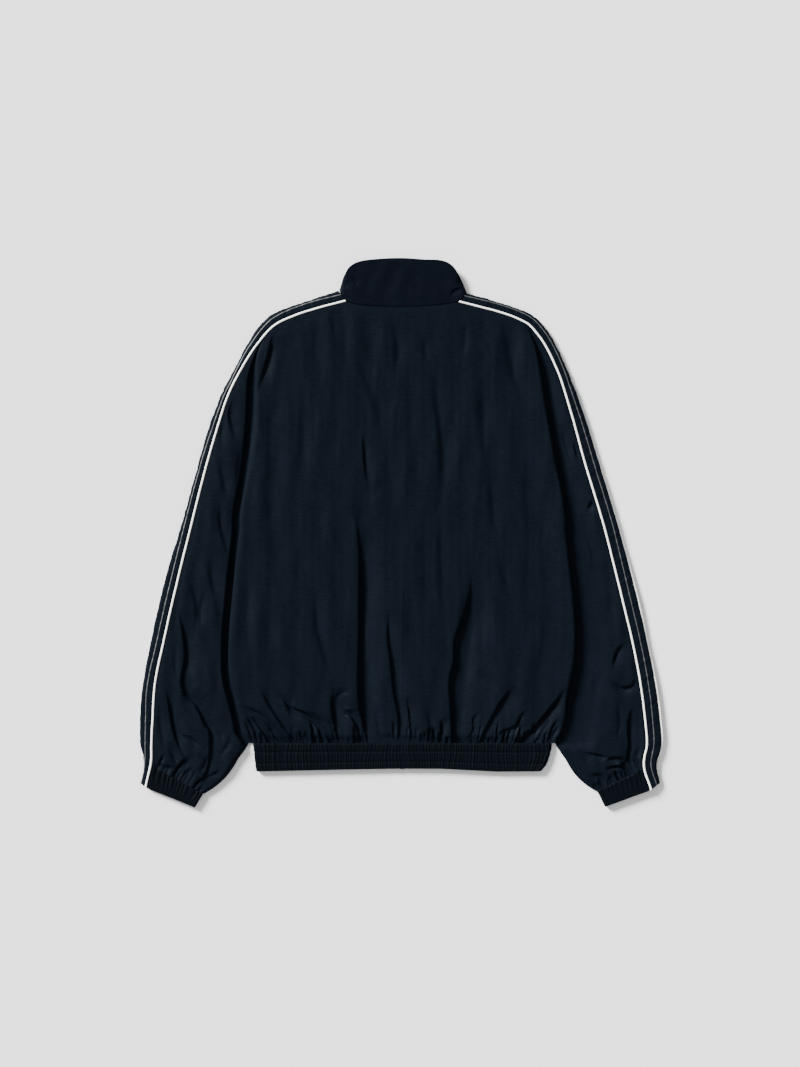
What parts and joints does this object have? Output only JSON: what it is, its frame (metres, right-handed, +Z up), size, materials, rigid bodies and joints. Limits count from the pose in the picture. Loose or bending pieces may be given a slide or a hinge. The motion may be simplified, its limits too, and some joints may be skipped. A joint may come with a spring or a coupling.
{
  "type": "track jacket",
  "caption": "Track jacket laid flat, back up: crinkle nylon body and sleeves, piped sleeve stripes, stand collar, elastic hem and cuffs, front zip underneath.",
  "frame": {"origin": "middle of the jacket's outline, on the surface it lies on", "axes": "+Z up, away from the surface and out of the jacket's back; +Y from the hem to the collar; +X towards the wearer's right sleeve"},
  "size_m": [0.7544, 0.796, 0.0141],
  "materials": {
    "shell_nylon": "crinkle nylon, soft sheen",
    "collar_nylon": "matt faced nylon",
    "elastic_nylon": "nylon casing gathered on elastic",
    "piping_satin": "satin piping",
    "line_braid": "narrow braid",
    "zip_tape": "woven tape",
    "zip_teeth": "moulded coil",
    "zip_metal": "dark enamel"
  },
  "bodies": {
    "jacket": {"back": "shell_nylon", "front_left": "shell_nylon", "front_right": "shell_nylon", "sleeve_back_left": "shell_nylon", "sleeve_back_right": "shell_nylon", "sleeve_front_left": "shell_nylon", "sleeve_front_right": "shell_nylon", "sleeve_strip_left": "shell_nylon", "sleeve_strip_right": "shell_nylon", "collar": "collar_nylon", "hem_band": "elastic_nylon", "cuff_left": "elastic_nylon", "cuff_right": "elastic_nylon", "back_piping_left": "piping_satin", "back_piping_right": "piping_satin", "front_piping_left": "piping_satin", "front_piping_right": "piping_satin", "strip_line_left": "line_braid", "strip_line_right": "line_braid", "zip_tape_left": "zip_tape", "zip_tape_right": "zip_tape", "zip_chain": "zip_teeth", "zip_box": "zip_teeth", "zip_slider": "zip_metal"},
    "pull_tab": {"zip_pull": "zip_metal"}
  },
  "joints": [
    {"name": "pull_tab_hinge", "type": "hinge", "parent": "jacket", "child": "pull_tab", "pos_m": [0.00268, 0.3415, 0.0014], "axis": [1, 0, 0], "range_deg": [0, 170]}
  ]
}
